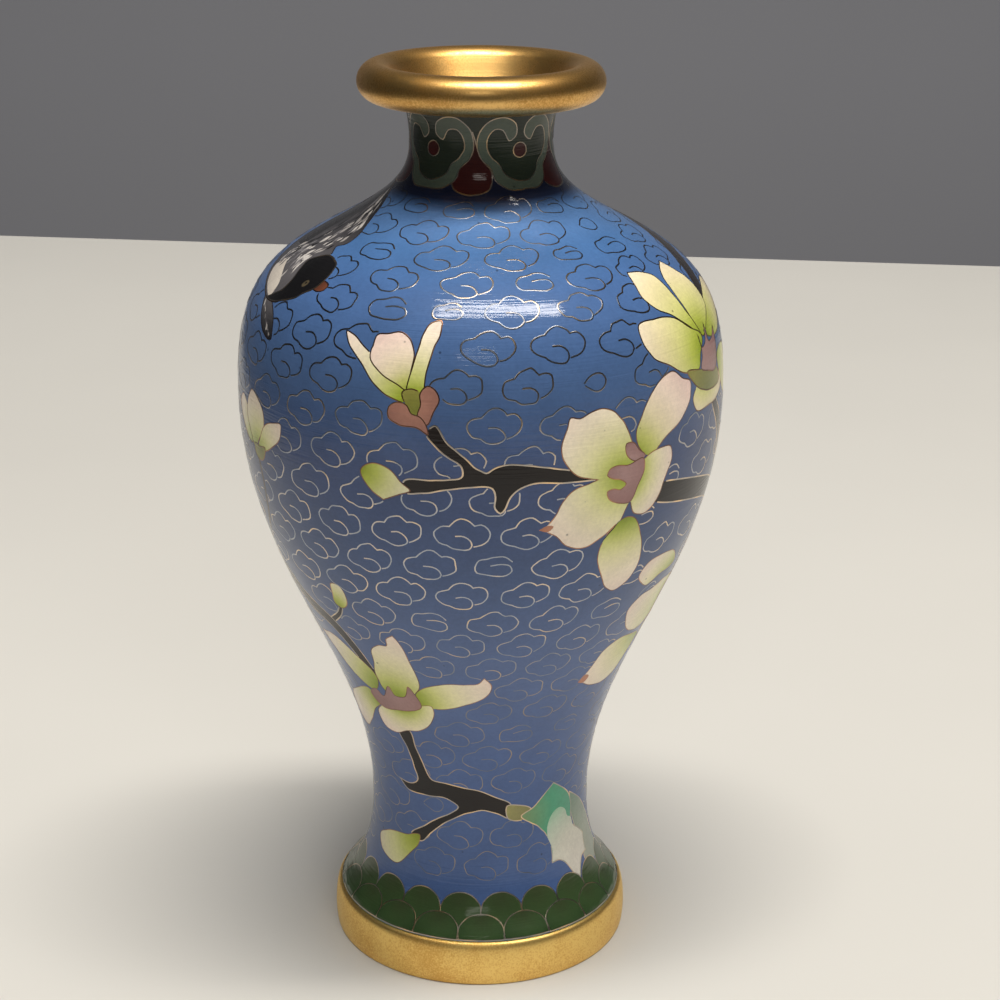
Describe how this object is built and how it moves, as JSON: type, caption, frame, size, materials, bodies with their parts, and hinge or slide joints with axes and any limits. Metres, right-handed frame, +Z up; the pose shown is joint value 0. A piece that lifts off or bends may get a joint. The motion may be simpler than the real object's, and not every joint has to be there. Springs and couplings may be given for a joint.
{
  "type": "miniature cloisonne vase",
  "caption": "Small hollow baluster vase of enamelled copper with a bird and blossom design, a gilt dished mouth rim and a gilt foot ring, for display or a single small stem.",
  "frame": {"origin": "centre of the foot, on the surface that the vase stands on", "axes": "+Z up along the axis that the vase is turned about; the pictured side of the decoration faces -Y"},
  "size_m": [0.0526, 0.0526, 0.1],
  "materials": {
    "cloisonne_enamel": "polished fused glass",
    "gilt_brass": "satin gilt"
  },
  "bodies": {
    "root": {"enamelled_body": "cloisonne_enamel", "mouth_rim": "gilt_brass", "foot_ring": "gilt_brass"}
  },
  "joints": []
}
